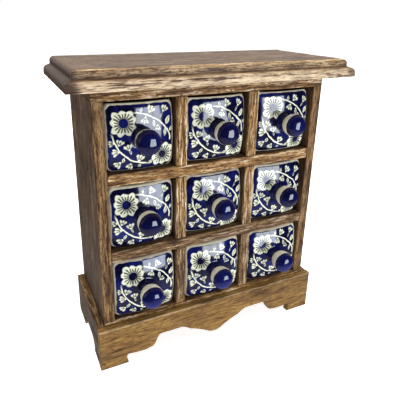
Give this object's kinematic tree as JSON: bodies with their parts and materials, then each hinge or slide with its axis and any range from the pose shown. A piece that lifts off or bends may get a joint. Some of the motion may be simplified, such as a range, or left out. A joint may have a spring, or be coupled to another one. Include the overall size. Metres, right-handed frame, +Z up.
{
  "type": "drawer cabinet",
  "caption": "Small wooden table-top cabinet with a moulded top and shaped plinth, holding a grid of sliding glazed ceramic drawers with round knobs.",
  "frame": {"origin": "floor level, in the middle of the box that holds the whole cabinet with its knobs", "axes": "+Z up, the drawers face and open towards -Y, +X is to the right when the cabinet is faced"},
  "size_m": [0.26, 0.1156, 0.271],
  "materials": {
    "top_wood": "worn satin",
    "case_wood": "worn satin",
    "side_wood": "worn satin",
    "plinth_wood": "worn satin",
    "back_wood": "plain",
    "steel": "dull",
    "glazed_drawer": "gloss glaze",
    "glazed_knob": "gloss glaze"
  },
  "bodies": {
    "cabinet": {"top_board": "top_wood", "carcass_top": "case_wood", "carcass_bottom": "case_wood", "left_side": "side_wood", "right_side": "side_wood", "upper_shelf": "case_wood", "lower_shelf": "case_wood", "left_divider": "case_wood", "right_divider": "case_wood", "back_panel": "back_wood", "front_apron": "plinth_wood", "left_apron": "plinth_wood", "right_apron": "plinth_wood", "apron_pins": "steel", "case_pins": "steel", "back_pins": "steel", "top_screws": "steel"},
    "bottom_left_drawer": {"drawer_bottom_left": "glazed_drawer", "knob_bottom_left": "glazed_knob"},
    "bottom_middle_drawer": {"drawer_bottom_middle": "glazed_drawer", "knob_bottom_middle": "glazed_knob"},
    "bottom_right_drawer": {"drawer_bottom_right": "glazed_drawer", "knob_bottom_right": "glazed_knob"},
    "middle_left_drawer": {"drawer_middle_left": "glazed_drawer", "knob_middle_left": "glazed_knob"},
    "middle_middle_drawer": {"drawer_middle_middle": "glazed_drawer", "knob_middle_middle": "glazed_knob"},
    "middle_right_drawer": {"drawer_middle_right": "glazed_drawer", "knob_middle_right": "glazed_knob"},
    "top_left_drawer": {"drawer_top_left": "glazed_drawer", "knob_top_left": "glazed_knob"},
    "top_middle_drawer": {"drawer_top_middle": "glazed_drawer", "knob_top_middle": "glazed_knob"},
    "top_right_drawer": {"drawer_top_right": "glazed_drawer", "knob_top_right": "glazed_knob"}
  },
  "joints": [
    {"name": "bottom_left_slide", "type": "slide", "parent": "cabinet", "child": "bottom_left_drawer", "axis": [0, -1, 0], "range_m": [-0.006, 0.078]},
    {"name": "bottom_middle_slide", "type": "slide", "parent": "cabinet", "child": "bottom_middle_drawer", "axis": [0, -1, 0], "range_m": [-0.006, 0.078]},
    {"name": "bottom_right_slide", "type": "slide", "parent": "cabinet", "child": "bottom_right_drawer", "axis": [0, -1, 0], "range_m": [-0.006, 0.078]},
    {"name": "middle_left_slide", "type": "slide", "parent": "cabinet", "child": "middle_left_drawer", "axis": [0, -1, 0], "range_m": [-0.0035, 0.078]},
    {"name": "middle_middle_slide", "type": "slide", "parent": "cabinet", "child": "middle_middle_drawer", "axis": [0, -1, 0], "range_m": [-0.0035, 0.078]},
    {"name": "middle_right_slide", "type": "slide", "parent": "cabinet", "child": "middle_right_drawer", "axis": [0, -1, 0], "range_m": [-0.0035, 0.078]},
    {"name": "top_left_slide", "type": "slide", "parent": "cabinet", "child": "top_left_drawer", "axis": [0, -1, 0], "range_m": [-0.0035, 0.078]},
    {"name": "top_middle_slide", "type": "slide", "parent": "cabinet", "child": "top_middle_drawer", "axis": [0, -1, 0], "range_m": [-0.0035, 0.078]},
    {"name": "top_right_slide", "type": "slide", "parent": "cabinet", "child": "top_right_drawer", "axis": [0, -1, 0], "range_m": [-0.0035, 0.078]}
  ]
}
